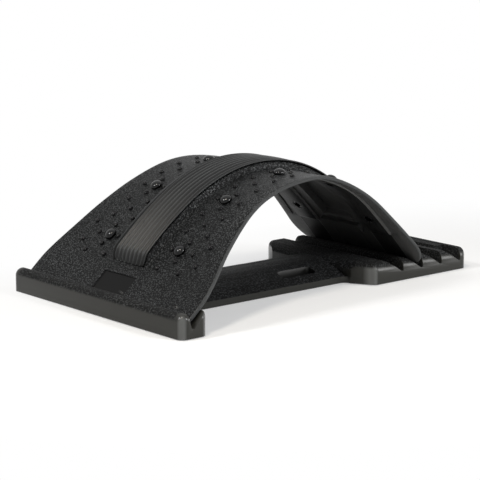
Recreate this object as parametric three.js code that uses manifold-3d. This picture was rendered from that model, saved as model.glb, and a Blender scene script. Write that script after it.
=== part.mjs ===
import * as THREE from "three";
import { mergeVertices } from "three/addons/utils/BufferGeometryUtils.js";
import Module from "manifold-3d";

const wasm = await Module();
wasm.setup();

// Arched back stretcher. Millimetres, Z up. X runs from the grooved front bar to the notched rear
// plate and Y runs across. The origin is on the floor under the middle of the base.

// Base, outside
const baseLength = 390;
const barWidth = 248;
const barDepth = 29.2;
const barHeight = 21.3;
const barTopRadius = 7;
const barEndRadius = 6.5;
const barCornerRadius = 7;
const spineWidth = 97;
const spineSideHeight = 6;
const spineCrownHeight = 17.3;
const plateWidth = 153;
const plateLength = 134;
const plateSweep = 10;
const plateLipDrop = 0.2;
const plateTopRun = 17;
const plateTopDrop = 7;
const plateCornerRadius = 6;
const plateSideRadius = 9;
const plateEdgeRadius = 4;
const flareRadius = 7;

// Groove across the front bar, which holds the front edge of the arch
const grooveLipTop = 8;
const grooveDraft = 2.4;
const grooveFloorHeight = 8.2;
const grooveFloorWidth = 5.5;
const innerLipRadius = 3;

// Rack of four notches across the rear plate
const crestHeight = 20;
const notchPitch = 25.6;
const notchFloorHeight = 8.8;
const notchFloorLength = 2.4;
const crestLand = 5.8;
const rearWallThickness = 8.8;
const rearWallRise = 0.6;
const rearWallRadius = 6;
const rackRibOffset = 23;
const rackRibThickness = 2.6;
const rackBlockWidth = 12;
const rackPocketFloor = 3.2;
const stopBlockLength = 10;
const stopBlockHalfWidth = 53;
const stopBlockDrop = 0.4;

// Two strap slots through the spine
const slotLength = 40.5;
const slotWidth = 12.6;
const slotOffset = 30.4;
const slotRadius = 3.5;
const slotToPlate = 25.5;

// Walls and ribs under the base
const wallThickness = 2.6;
const ribThickness = 2;
const ribSpacing = 34;
const spineRibOffset = 15;
const plateRibOffset = 44;
const barSolidEnd = 24;

// Anti-slip pads set into the underside
const footRadius = 6;
const footProud = 0.8;
const footRecess = 1;
const footInsetX = 14;
const footInsetY = 13;

// Arch panel
const panelThickness = 4.2;
const railDepth = 5;
const panelSkin = 2.4;
const panelFrontAngle = 42;
const panelRunShares = [0.17, 0.12, 0.12, 0.37, 0.22];
const panelTurns = [0, 8.2, 17, 60.5, 7.1];
const panelWidthShares = [0, 0.08, 0.2, 0.35, 0.5, 0.62, 0.8, 0.92, 1];
const panelHalfWidths = [119, 117.7, 103.6, 89.7, 86, 75.2, 81.7, 88.1, 92];
const panelFrontCorner = 6;
const panelRearCorner = 33;
const seatNotch = 1;
const wingDish = 0.6;
const bandHalfWidth = 22.8;
const bandRise = 6;
const bandStep = 3;
const bandEndInset = 40.2;
const bandRamp = 14;
const bandRampSteps = 8;
const channelEndInset = 54;
const channelDraft = 1.5;
const wingShares = [0.75, 0.5, 0.25];
const railInner = 36;
const railOuter = 64.5;
const rimWidth = 12;
const leastPocket = 3;
const pocketEndInset = 42;
const pocketRamp = 1.6;
const labelLength = 20;
const labelWidth = 45.4;
const labelDepth = 0.8;
const labelInset = 8;
const crossRibLength = 11;
const crossRibHalfWidth = 26;
const crossRibDepth = 6;
const crossRibOverlap = 3;

// Studs and nodules on the panel
const studRadius = 5.8;
const studHeight = 4.6;
const studOffset = 49.7;
const studShankRadius = 4.4;
const studShankLength = 4.4;
const studBoreRadius = 3.3;
const studBoreRise = 1.6;
const magnetThickness = 2.6;
const noduleRadius = 2.1;
const noduleHeight = 2.1;
const noduleSink = 0.8;
const noduleTopShare = 0.8;
const rowPitch = 10.86;
const nodulesFrom = 39;
const nodulePitch = 14.24;
const noduleMargin = 17;
const noduleReach = 90;
const rowsToEnd = 14;
const rowsPerStud = 6;
const studsPerSide = 5;

// Foam comfort strip
const stripWidth = 45;
const stripHeight = 2.6;
const stripEndInset = 39.7;
const stripGap = 0.45;
const stripRibs = 8;
const stripGrooveDepth = 0.9;
const stripSideDraw = 1.2;
const stripNose = 3.5;
const stripNoseDraw = 3.5;
const stripNoseShare = 0.5;
const stripCrown = 0.5;

// Fits and cutting overrun
const fitGap = 0.3;
const overrun = 3;
const leastRadius = 0.2;

// Facets
const archSteps = 32;
const cornerSteps = 8;
const roundSides = 12;
const integrationSteps = 920;

const degree = Math.PI / 180;
const quarterTurn = 90 * degree;
const frontX = -baseLength / 2;
const rearX = baseLength / 2;
const barInnerX = frontX + barDepth;
const plateFrontX = rearX - plateLength;
const lastNotch = 3;
const notchSlopeRun = notchPitch - notchFloorLength - crestLand;
const plateLipHeight = crestHeight - plateLipDrop;
const rearWallHeight = crestHeight + rearWallRise;
const stopBlockHeight = rearWallHeight - stopBlockDrop;
const floorZ = footProud;

const plastic = (color, roughness) =>
  new THREE.MeshStandardMaterial({ color, roughness, metalness: 0 });
const basePlastic = plastic(0x3a3a39, 0.5);
const panelPlastic = plastic(0x2a2b2c, 0.6);
const studPlastic = plastic(0x0c0c0d, 0.15);
const foam = plastic(0x4a4a49, 0.7);
const rubber = plastic(0x1c1c1c, 0.9);
const magnetMetal = new THREE.MeshStandardMaterial({
  color: 0xb8b9bb,
  roughness: 0.3,
  metalness: 1,
});

const part = new THREE.Group();

// A closed geometry as a solid that can be joined and cut.
function solidOf(geometry) {
  const bare = geometry.clone();
  bare.deleteAttribute("normal");
  bare.deleteAttribute("uv");
  const merged = mergeVertices(bare);
  const corners = merged.index.array;
  const kept = [];
  for (let i = 0; i < corners.length; i += 3) {
    const face = [corners[i], corners[i + 1], corners[i + 2]];
    if (new Set(face).size === face.length) kept.push(...face);
  }
  return new wasm.Manifold(
    new wasm.Mesh({
      numProp: 3,
      vertProperties: merged.attributes.position.array,
      triVerts: new Uint32Array(kept),
    }),
  );
}

function geometryOf(solid) {
  const mesh = solid.getMesh();
  const geometry = new THREE.BufferGeometry();
  geometry.setAttribute("position", new THREE.BufferAttribute(mesh.vertProperties, 3));
  geometry.setIndex(new THREE.BufferAttribute(mesh.triVerts, 1));
  const flat = geometry.toNonIndexed();
  flat.computeVertexNormals();
  return flat;
}

function addMesh(name, geometry, material, parent = part) {
  const mesh = new THREE.Mesh(geometry, material);
  mesh.name = name;
  parent.add(mesh);
  return mesh;
}

// Points of an arc, angles in degrees, both ends included.
function arc(x, y, radius, from, to, steps = cornerSteps) {
  const points = [];
  for (let i = 0; i <= steps; i++) {
    const angle = (from + ((to - from) * i) / steps) * degree;
    points.push([x + radius * Math.cos(angle), y + radius * Math.sin(angle)]);
  }
  return points;
}

function extrude(points, depth) {
  const shape = new THREE.Shape(points.map(([x, y]) => new THREE.Vector2(x, y)));
  return new THREE.ExtrudeGeometry(shape, { depth, bevelEnabled: false });
}

// Three prisms: an outline seen from above, a profile seen from the side and one seen from the end.
function planPrism(points, bottom, top) {
  return solidOf(extrude(points, top - bottom).translate(0, 0, bottom));
}

function sidePrism(points, halfWidth) {
  const geometry = extrude(points, 2 * halfWidth).rotateX(quarterTurn);
  return solidOf(geometry.translate(0, halfWidth, 0));
}

function endPrism(points, from, to) {
  const turn = new THREE.Matrix4().makeBasis(
    new THREE.Vector3(0, 1, 0),
    new THREE.Vector3(0, 0, 1),
    new THREE.Vector3(1, 0, 0),
  );
  return solidOf(extrude(points, to - from).applyMatrix4(turn).translate(from, 0, 0));
}

function block(x0, x1, y0, y1, z0, z1) {
  const geometry = new THREE.BoxGeometry(x1 - x0, y1 - y0, z1 - z0);
  return solidOf(geometry.translate((x0 + x1) / 2, (y0 + y1) / 2, (z0 + z1) / 2));
}

function roundedRectangle(x0, x1, y0, y1, radius) {
  return [
    ...arc(x0 + radius, y0 + radius, radius, 180, 270),
    ...arc(x1 - radius, y0 + radius, radius, 270, 360),
    ...arc(x1 - radius, y1 - radius, radius, 0, 90),
    ...arc(x0 + radius, y1 - radius, radius, 90, 180),
  ];
}

// How far a wall draws in where its upper edge is rounded.
function rollInset(z, top, radius) {
  const over = Math.min(Math.max(z - (top - radius), 0), radius);
  return radius - Math.sqrt(radius ** 2 - over ** 2);
}

// Corner of an outline that keeps its centre while its two walls draw in.
function drawnCorner(x, y, inX, inY, radius, directionX, directionY, from) {
  const rx = Math.max(radius - inX, leastRadius);
  const ry = Math.max(radius - inY, leastRadius);
  const centreX = x - directionX * Math.max(radius, inX + leastRadius);
  const centreY = y - directionY * Math.max(radius, inY + leastRadius);
  return arc(0, 0, 1, from, from + 90).map(([u, v]) => [centreX + rx * u, centreY + ry * v]);
}

// Slab with rolled upper edges: one convex skin over outlines that draw in as they rise.
function rolledSlab(outlineAt, top, radius) {
  const levels = [0, ...arc(0, top - radius, radius, 0, 90).map(([, z]) => z)];
  return wasm.Manifold.hull(levels.flatMap((z) => outlineAt(z).map(([x, y]) => [x, y, z])));
}

// Front bar: the groove's outer wall stands nearly upright and its inner wall slopes up to a lip.
const grooveFootX = frontX + grooveLipTop + grooveDraft;
const grooveTopX = frontX + grooveLipTop;
const grooveInnerX = barInnerX - innerLipRadius;

function barOutline(z) {
  const half = barWidth / 2;
  const front = rollInset(z, barHeight, barTopRadius);
  const inner = rollInset(z, barHeight, innerLipRadius);
  const end = rollInset(z, barHeight, barEndRadius);
  const radius = barCornerRadius;
  return [
    ...drawnCorner(frontX, -half, front, end, radius, -1, -1, 180),
    ...drawnCorner(barInnerX, -half, inner, end, radius, 1, -1, 270),
    ...drawnCorner(barInnerX, half, inner, end, radius, 1, 1, 0),
    ...drawnCorner(frontX, half, front, end, radius, -1, 1, 90),
  ];
}

function barSolid() {
  const groove = [
    [grooveFootX, grooveFloorHeight + grooveFloorWidth / 2],
    ...arc(
      grooveFootX + grooveFloorWidth / 2,
      grooveFloorHeight + grooveFloorWidth / 2,
      grooveFloorWidth / 2,
      200,
      310,
    ),
    [grooveInnerX, barHeight],
    [grooveInnerX, barHeight + overrun],
    [grooveTopX - grooveDraft / 2, barHeight + overrun],
    [grooveTopX, barHeight],
  ];
  const halfWidth = barWidth / 2;
  return rolledSlab(barOutline, barHeight, barTopRadius).subtract(
    sidePrism(groove, barWidth / 2 + overrun),
  );
}

// Spine: low upright sides under a crowned top.
function crownSection(inset) {
  const halfWidth = spineWidth / 2 - inset;
  const rise = spineCrownHeight - spineSideHeight;
  const radius = ((spineWidth / 2) ** 2 + rise ** 2) / (2 * rise) - inset;
  const centre = spineCrownHeight - inset - radius;
  const spread = Math.asin(halfWidth / radius) / degree;
  const bottom = inset > 0 ? -overrun : 0;
  return [
    [-halfWidth, bottom],
    [halfWidth, bottom],
    ...arc(0, centre, radius, 90 - spread, 90 + spread, 2 * cornerSteps),
  ];
}

// Rear plate: its front face sweeps back towards the sides, and each notch has a long slope that
// ends at an upright wall.
const notchWallX = (index) => rearX - rearWallThickness - (lastNotch - index) * notchPitch;
const slopeTopX = (index) => notchWallX(index) - notchFloorLength - notchSlopeRun;
const slopeRise = crestHeight - notchFloorHeight;
const lipEndX =
  slopeTopX(0) + (notchSlopeRun * (crestHeight - plateLipHeight)) / slopeRise;

function plateOutline(z) {
  const half = plateWidth / 2;
  const front = rollInset(z, plateLipHeight, plateEdgeRadius);
  const rear = rollInset(z, rearWallHeight, rearWallRadius);
  const end = rollInset(z, rearWallHeight, plateSideRadius);
  const sweptX = plateFrontX + plateSweep;
  const radius = plateCornerRadius;
  const side = [
    [plateFrontX + front, spineWidth / 2 + flareRadius],
    ...drawnCorner(sweptX, half, front, end, radius, -1, 1, 90),
    ...drawnCorner(rearX, half, rear, end, radius, 1, 1, 0),
  ];
  return [...side, ...side.map(([x, y]) => [x, -y])];
}

function plateSolid() {
  const rear = rearWallHeight - rearWallRadius;
  const profile = [
    [plateFrontX, 0],
    [rearX, 0],
    ...arc(rearX - rearWallRadius, rear, rearWallRadius, 0, 90),
    [notchWallX(lastNotch), rearWallHeight],
  ];
  for (let i = lastNotch; i >= 0; i--) {
    profile.push([notchWallX(i), notchFloorHeight]);
    profile.push([notchWallX(i) - notchFloorLength, notchFloorHeight]);
    if (i > 0) {
      profile.push([slopeTopX(i), crestHeight]);
      profile.push([notchWallX(i - 1), crestHeight]);
    }
  }
  profile.push([lipEndX, plateLipHeight]);
  for (const [x, z] of arc(1, 0, 1, 90, 180))
    profile.push([plateFrontX + plateTopRun * x, plateLipHeight + plateTopDrop * (z - 1)]);
  return sidePrism(profile, plateWidth / 2).intersect(
    rolledSlab(plateOutline, rearWallHeight, plateSideRadius),
  );
}

// Concave fillet in the corner between the spine's side and a wall that faces it.
function flareSolid(wallX, direction, side) {
  const y = (spineWidth / 2) * side;
  const bend = arc(0, 0, flareRadius, 90, 0).map(([x, z]) => [
    wallX + (x - flareRadius) * direction,
    y + (flareRadius - z) * side,
  ]);
  const outline = [
    ...bend,
    [wallX + overrun * direction, y + flareRadius * side],
    [wallX + overrun * direction, y - overrun * side],
    [wallX - flareRadius * direction, y - overrun * side],
  ];
  const clockwise = direction * side > 0;
  return planPrism(clockwise ? outline.reverse() : outline, 0, spineSideHeight);
}

// Pockets that leave only narrow sloped ribs and the two side blocks in each notch.
function rackPockets() {
  const blockFace = plateWidth / 2 - rackBlockWidth;
  const rib = rackRibThickness / 2;
  const bays = [
    [-blockFace, -rackRibOffset - rib],
    [-rackRibOffset + rib, rackRibOffset - rib],
    [rackRibOffset + rib, blockFace],
  ];
  const cuts = [];
  for (let i = 0; i <= lastNotch; i++) {
    const start = (i > 0 ? slopeTopX(i) : lipEndX) + wallThickness / 2;
    for (const [y0, y1] of bays)
      cuts.push(block(start, notchWallX(i), y0, y1, rackPocketFloor, crestHeight + overrun));
  }
  return cuts;
}

// Hollow space under the spine, parted by ribs and by the walls of the two slots.
function ribPositions(from, to) {
  const count = Math.ceil((to - from) / ribSpacing);
  return Array.from({ length: count - 1 }, (_, i) => from + ((to - from) * (i + 1)) / count);
}

function slotPrism(side, grow) {
  const end = plateFrontX - slotToPlate;
  const y = slotOffset * side;
  const half = slotWidth / 2 + grow;
  const outline = roundedRectangle(
    end - slotLength - grow,
    end + grow,
    y - half,
    y + half,
    slotRadius + grow,
  );
  return planPrism(outline, -overrun, spineCrownHeight + overrun);
}

function spineHollow() {
  const from = barInnerX;
  const to = plateFrontX;
  const rib = ribThickness / 2;
  const top = spineCrownHeight + overrun;
  let hollow = endPrism(crownSection(wallThickness), from, to);
  for (const x of ribPositions(from, to))
    hollow = hollow.subtract(block(x - rib, x + rib, -spineWidth, spineWidth, -overrun, top));
  for (const side of [-1, 1]) {
    const y = spineRibOffset * side;
    hollow = hollow
      .subtract(block(from - overrun, to + overrun, y - rib, y + rib, -overrun, top))
      .subtract(slotPrism(side, ribThickness));
  }
  return hollow;
}

// Hollow cells under the front of the rear plate and under the groove of the bar.
function cellRow(x0, x1, edges, top) {
  const rib = ribThickness / 2;
  const cells = [];
  for (let i = 1; i < edges.length; i++)
    cells.push(block(x0, x1, edges[i - 1] + rib, edges[i] - rib, -overrun, top));
  return cells;
}

function plateHollow() {
  const half = plateWidth / 2 - wallThickness - plateSweep;
  const edges = [-half, -plateRibOffset, -spineRibOffset, spineRibOffset, plateRibOffset, half];
  const x0 = plateFrontX + plateSweep + wallThickness;
  return cellRow(x0, lipEndX - wallThickness, edges, plateLipHeight - wallThickness);
}

function barHollow() {
  const half = barWidth / 2 - barSolidEnd;
  const edges = [-half, ...ribPositions(-half, half), half];
  const top = grooveFloorHeight - wallThickness;
  return cellRow(frontX + wallThickness, barInnerX - wallThickness, edges, top);
}

const footPlaces = [
  ["foot_front_left", frontX + footInsetX, barWidth / 2 - footInsetY],
  ["foot_front_right", frontX + footInsetX, -barWidth / 2 + footInsetY],
  ["foot_rear_left", rearX - footInsetX, plateWidth / 2 - footInsetY],
  ["foot_rear_right", rearX - footInsetX, -plateWidth / 2 + footInsetY],
];

function disc(radius, height, x, y, z) {
  const geometry = new THREE.CylinderGeometry(radius, radius, height, 2 * roundSides);
  return geometry.rotateX(quarterTurn).translate(x, y, z + height / 2);
}

function baseFrame() {
  let solid = barSolid()
    .add(endPrism(crownSection(0), barInnerX - overrun, plateFrontX + overrun))
    .add(plateSolid());
  for (const side of [-1, 1]) {
    solid = solid.add(flareSolid(plateFrontX, 1, side)).add(flareSolid(barInnerX, -1, side));
    solid = solid.subtract(slotPrism(side, 0));
  }
  for (const cut of [...rackPockets(), ...plateHollow(), ...barHollow(), spineHollow()])
    solid = solid.subtract(cut);
  const stopX = notchWallX(lastNotch);
  solid = solid.add(
    block(
      stopX - stopBlockLength,
      stopX + overrun,
      -stopBlockHalfWidth,
      stopBlockHalfWidth,
      0,
      stopBlockHeight,
    ),
  );
  const stopHollow = stopBlockHalfWidth - wallThickness;
  solid = solid.subtract(
    block(
      stopX - stopBlockLength + wallThickness,
      stopX,
      -stopHollow,
      stopHollow,
      -overrun,
      stopBlockHeight - wallThickness,
    ),
  );
  for (const [, x, y] of footPlaces)
    solid = solid.subtract(
      solidOf(disc(footRadius + fitGap, footRecess + overrun, x, y, -overrun)),
    );
  return solid.translate(0, 0, floorZ);
}

addMesh("base_frame", geometryOf(baseFrame()), basePlastic);
for (const [name, x, y] of footPlaces)
  addMesh(name, disc(footRadius, footProud + footRecess - fitGap, x, y, 0), rubber);

// Line of the arch: tangent arcs that turn the panel downwards from its front edge, fitted
// between the front seat in the groove and the rear seat in a notch.
function turnedBy(share) {
  let passed = 0;
  let turned = 0;
  panelRunShares.forEach((run, i) => {
    turned += panelTurns[i] * Math.min(Math.max((share - passed) / run, 0), 1);
    passed += run;
  });
  return turned;
}

function unitLine() {
  const line = [{ x: 0, z: 0, angle: panelFrontAngle * degree }];
  for (let i = 1; i <= integrationSteps; i++) {
    const middle = (panelFrontAngle - turnedBy((i - 0.5) / integrationSteps)) * degree;
    const last = line[i - 1];
    line.push({
      x: last.x + Math.cos(middle) / integrationSteps,
      z: last.z + Math.sin(middle) / integrationSteps,
      angle: (panelFrontAngle - turnedBy(i / integrationSteps)) * degree,
    });
  }
  return line;
}

// Upper corner of the rear edge: it stands off the notch wall, while the lower corner stands
// over the notch's floor or slope.
function rearSeat(angle) {
  const reach = panelThickness * Math.sin(-angle) + fitGap;
  const climb = Math.max(reach - notchFloorLength, 0) * (slopeRise / notchSlopeRun);
  return {
    x: notchWallX(seatNotch) - fitGap,
    z: floorZ + notchFloorHeight + climb + fitGap + panelThickness * Math.cos(angle),
  };
}

// Upper corner of the front edge: it stands off the groove's outer wall, while the underside
// passes over the groove's inner lip.
function frontSeat(angle) {
  const over = grooveInnerX * -Math.sin(angle) + (floorZ + barHeight) * Math.cos(angle);
  const reach = over + panelThickness + fitGap;
  const wallFoot = floorZ + grooveFloorHeight + grooveFloorWidth / 2;
  const draftRate = grooveDraft / (floorZ + barHeight - wallFoot);
  let z = wallFoot;
  let x = grooveFootX;
  for (let i = 0; i < cornerSteps; i++) {
    x = grooveFootX - Math.max(z - wallFoot, 0) * draftRate + fitGap;
    z = (reach + x * Math.sin(angle)) / Math.cos(angle);
  }
  return { x, z };
}

function fittedLine() {
  const line = unitLine();
  const last = line[integrationSteps];
  let turn = 0;
  let start = null;
  let scale = 1;
  for (let i = 0; i < cornerSteps; i++) {
    start = frontSeat(line[0].angle + turn);
    const end = rearSeat(last.angle + turn);
    const chord = Math.hypot(end.x - start.x, end.z - start.z);
    scale = chord / Math.hypot(last.x, last.z);
    turn = Math.atan2(end.z - start.z, end.x - start.x) - Math.atan2(last.z, last.x);
  }
  return line.map((point) => ({
    x: start.x + scale * (point.x * Math.cos(turn) - point.z * Math.sin(turn)),
    z: start.z + scale * (point.x * Math.sin(turn) + point.z * Math.cos(turn)),
    angle: point.angle + turn,
    length: scale,
  }));
}

const archLine = fittedLine();
const archLength = archLine[0].length;
const archMiddle = archLength / 2;

// Place on the arch at a distance along it from the front edge.
function archAt(distance) {
  const at = Math.min(Math.max(distance / archLength, 0), 1) * integrationSteps;
  const index = Math.min(Math.floor(at), integrationSteps - 1);
  const rest = at - index;
  const a = archLine[index];
  const b = archLine[index + 1];
  return {
    x: a.x + (b.x - a.x) * rest,
    z: a.z + (b.z - a.z) * rest,
    angle: a.angle + (b.angle - a.angle) * rest,
  };
}

// A point over the arch: distance along it, place across it and height over the wings.
function overArch(distance, across, height) {
  const { x, z, angle } = archAt(distance);
  return new THREE.Vector3(
    x - height * Math.sin(angle),
    across,
    z + height * Math.cos(angle),
  );
}

function archFrame(distance, across) {
  const { angle } = archAt(distance);
  const along = new THREE.Vector3(Math.cos(angle), 0, Math.sin(angle));
  const over = new THREE.Vector3(-Math.sin(angle), 0, Math.cos(angle));
  const side = new THREE.Vector3(0, 1, 0);
  const frame = new THREE.Matrix4().makeBasis(along, side, over);
  return frame.setPosition(overArch(distance, across, 0));
}

// Smooth half width of the panel, with rounded corners at both ends.
const widthCurve = new THREE.SplineCurve(
  panelWidthShares.map((share, i) => new THREE.Vector2(share, panelHalfWidths[i])),
);

function plainHalfWidth(share) {
  let low = 0;
  let high = 1;
  for (let i = 0; i < roundSides; i++) {
    const middle = (low + high) / 2;
    if (widthCurve.getPoint(middle).x < share) low = middle;
    else high = middle;
  }
  return widthCurve.getPoint((low + high) / 2).y;
}

function cornerCut(radius, distance) {
  const inside = Math.min(Math.max(radius - distance, 0), radius);
  return radius - Math.sqrt(radius ** 2 - inside ** 2);
}

function halfWidthAt(distance) {
  const plain = plainHalfWidth(distance / archLength);
  const front = cornerCut(panelFrontCorner, distance);
  return plain - front - cornerCut(panelRearCorner, archLength - distance);
}

// Share of a feature that is present: 0 near the two ends of the panel, 1 between.
function presence(distance, inset, ramp) {
  const fromEnd = Math.min(distance, archLength - distance) - inset;
  return Math.min(Math.max(fromEnd / ramp, 0), 1);
}

// Height of the raised middle band, which rises in a curve from both ends.
function bandHeight(distance) {
  return bandRise * (1 - (1 - presence(distance, bandEndInset, bandRamp)) ** 2);
}

function bandPlaces() {
  const places = Array.from(
    { length: bandRampSteps + 1 },
    (_, i) => bandEndInset + (bandRamp * i) / bandRampSteps,
  );
  return places.flatMap((place) => [place, archLength - place]);
}

// Height of the panel's upper face: dished wings beside the band.
function wingHeight(across, distance) {
  const half = halfWidthAt(distance) - panelThickness / 2;
  const from = bandHalfWidth + bandStep;
  const reach = Math.min(Math.max((Math.abs(across) - from) / (half - from), 0), 1);
  return -wingDish * Math.sin(reach * Math.PI) * presence(distance, bandEndInset, bandRamp);
}

// Half of the panel's section from the middle of the underside round to the middle of the top.
function panelHalfSection(distance) {
  const half = halfWidthAt(distance);
  const round = panelThickness / 2;
  const pocketEdge = half - rimWidth;
  const pocketThere = pocketEdge - railOuter > leastPocket ? 1 : 0;
  const pocket = presence(distance, pocketEndInset, pocketRamp);
  const outerEdge = Math.max(pocketEdge, railOuter + leastPocket / 2);
  const edge = Math.min(outerEdge, half - round - leastPocket / 2);
  const middleDepth = panelThickness + (panelSkin - panelThickness) * pocket;
  const sideDepth = panelThickness + (panelSkin - panelThickness) * pocket * pocketThere;
  const depth = panelThickness + (railDepth - panelThickness) * pocket;
  const rail = Math.min(railOuter, edge - leastPocket / 2);
  const rise = bandHeight(distance);
  const channel = presence(distance, channelEndInset, pocketRamp);
  const channelEdge = bandHalfWidth - panelSkin;
  const bandEdge = bandHalfWidth + bandStep;
  const wing = wingShares.map((share) => {
    const across = bandEdge + (half - round - bandEdge) * share;
    return [across, wingHeight(across, distance)];
  });
  return [
    [channelEdge, rise * channel - middleDepth],
    [channelEdge + channelDraft, -middleDepth],
    [railInner, -middleDepth],
    [railInner, -depth],
    [rail, -depth],
    [rail, -sideDepth],
    [edge, -sideDepth],
    [edge, -panelThickness],
    ...arc(half - round, -round, round, -90, 90, 3),
    ...wing,
    [bandEdge, 0],
    [bandHalfWidth, rise],
  ];
}

function mirroredRing(halfSection) {
  const mirrored = halfSection.map(([y, z]) => [-y, z]).reverse();
  return [...halfSection, ...mirrored];
}

// A closed body swept through rings of equal count, each given across and over the arch.
function sweep(distances, ringAt) {
  const rings = distances.map(ringAt);
  const count = rings[0].length;
  const positions = [];
  rings.forEach((ring, i) => {
    for (const [across, height] of ring)
      positions.push(...overArch(distances[i], across, height).toArray());
  });
  const faces = [];
  for (let i = 1; i < rings.length; i++)
    for (let j = 0; j < count; j++) {
      const next = (j + 1) % count;
      const a = (i - 1) * count;
      const b = i * count;
      faces.push(a + j, a + next, b + next, a + j, b + next, b + j);
    }
  const endStart = (rings.length - 1) * count;
  const middles = [positions.length / 3, positions.length / 3 + 1];
  for (const i of [0, rings.length - 1]) {
    const heights = rings[i].map(([, height]) => height);
    const middle = (Math.min(...heights) + Math.max(...heights)) / 2;
    positions.push(...overArch(distances[i], 0, middle).toArray());
  }
  for (let j = 0; j < count; j++) {
    const next = (j + 1) % count;
    faces.push(middles[0], next, j, middles[1], endStart + j, endStart + next);
  }
  const geometry = new THREE.BufferGeometry();
  geometry.setAttribute("position", new THREE.Float32BufferAttribute(positions, 3));
  geometry.setIndex(faces);
  return geometry;
}

// Places of the panel's sections: those that a feature needs, then regular ones between them.
function panelDistances() {
  const needed = [0, archLength];
  for (let i = 1; i <= cornerSteps; i++) {
    const share = 1 - Math.cos((quarterTurn * i) / cornerSteps);
    needed.push(panelFrontCorner * share, archLength - panelRearCorner * share);
  }
  for (const inset of [pocketEndInset, channelEndInset])
    for (const place of [inset, inset + pocketRamp]) needed.push(place, archLength - place);
  needed.push(...bandPlaces());
  const step = archLength / archSteps;
  const clear = (place) => needed.every((other) => Math.abs(other - place) > step / 2);
  const regular = Array.from({ length: archSteps }, (_, i) => (i + 1) * step).filter(clear);
  return [...needed, ...regular].sort((a, b) => a - b);
}

const studRows = Array.from(
  { length: studsPerSide },
  (_, i) => (i - (studsPerSide - 1) / 2) * rowsPerStud,
);

// Staggered nodules on both wings, left out near the panel's edge.
function nodulePlaces() {
  const places = [];
  for (let row = -rowsToEnd; row <= rowsToEnd; row++) {
    const distance = archMiddle + row * rowPitch;
    const odd = Math.abs(row) % 2;
    for (let across = nodulesFrom + odd * nodulePitch; ; across += 2 * nodulePitch) {
      if (across > Math.min(halfWidthAt(distance) - noduleMargin, noduleReach)) break;
      places.push([distance, across], [distance, -across]);
    }
  }
  return places;
}

function nodule(distance, across) {
  const profile = [
    [0, -noduleSink],
    [noduleRadius, -noduleSink],
    [noduleRadius * noduleTopShare, noduleHeight * noduleTopShare],
    [0, noduleHeight],
  ].map(([x, y]) => new THREE.Vector2(x, y));
  const geometry = new THREE.LatheGeometry(profile, roundSides / 2).rotateX(quarterTurn);
  geometry.translate(0, 0, wingHeight(across, distance));
  return solidOf(geometry.applyMatrix4(archFrame(distance, across)));
}

function archPanel() {
  let solid = solidOf(sweep(panelDistances(), (d) => mirroredRing(panelHalfSection(d))));
  for (const [distance, across] of nodulePlaces()) solid = solid.add(nodule(distance, across));
  const holeLength = 2 * (railDepth + overrun);
  for (const row of studRows)
    for (const side of [-1, 1]) {
      const radius = studShankRadius + fitGap;
      const hole = new THREE.CylinderGeometry(radius, radius, holeLength, roundSides);
      hole.rotateX(quarterTurn);
      const frame = archFrame(archMiddle + row * rowPitch, studOffset * side);
      solid = solid.subtract(solidOf(hole.applyMatrix4(frame)));
    }
  const recess = new THREE.BoxGeometry(labelLength, labelWidth, 2 * labelDepth);
  const recessPlace = archFrame(labelInset + labelLength / 2, 0);
  solid = solid.subtract(solidOf(recess.applyMatrix4(recessPlace)));
  const ribHeight = crossRibDepth - panelSkin + labelDepth;
  const crossRib = new THREE.BoxGeometry(crossRibLength, 2 * crossRibHalfWidth, ribHeight);
  crossRib.translate(0, 0, ribHeight / 2 - crossRibDepth);
  const fromEnd = pocketEndInset - crossRibOverlap + crossRibLength / 2;
  return solid.add(solidOf(crossRib.applyMatrix4(archFrame(archLength - fromEnd, 0))));
}

addMesh("arch_panel", geometryOf(archPanel()), panelPlastic);

// Domed stud: a hollow shank goes down through the panel and holds a disc magnet.
function studProfile() {
  const boreTop = studBoreRise;
  const bottom = -studShankLength;
  const flange = fitGap;
  const dome = arc(0, 0, 1, 15, 90, 3).map(([x, y]) => [
    studRadius * x,
    flange + (studHeight - flange) * y,
  ]);
  dome[dome.length - 1][0] = 0;
  return [
    [0, boreTop],
    [studBoreRadius, boreTop],
    [studBoreRadius, bottom],
    [studShankRadius, bottom],
    [studShankRadius, flange],
    [studRadius, flange],
    ...dome,
  ];
}

function revolved(profile) {
  const points = profile.map(([x, y]) => new THREE.Vector2(x, y));
  return new THREE.LatheGeometry(points, roundSides).rotateX(quarterTurn);
}

const sideNames = { 1: "left", "-1": "right" };
for (const side of [1, -1])
  studRows.forEach((row, i) => {
    const group = new THREE.Group();
    const distance = archMiddle + row * rowPitch;
    archFrame(distance, studOffset * side).decompose(
      group.position,
      group.quaternion,
      group.scale,
    );
    part.add(group);
    const label = `${sideNames[side]}_${i + 1}`;
    addMesh(`stud_${label}`, revolved(studProfile()), studPlastic, group);
    const top = studBoreRise - fitGap;
    const magnet = revolved([
      [0, top - magnetThickness],
      [studBoreRadius - fitGap, top - magnetThickness],
      [studBoreRadius - fitGap, top],
      [0, top],
    ]);
    addMesh(`magnet_${label}`, magnet, magnetMetal, group);
  });

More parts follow.
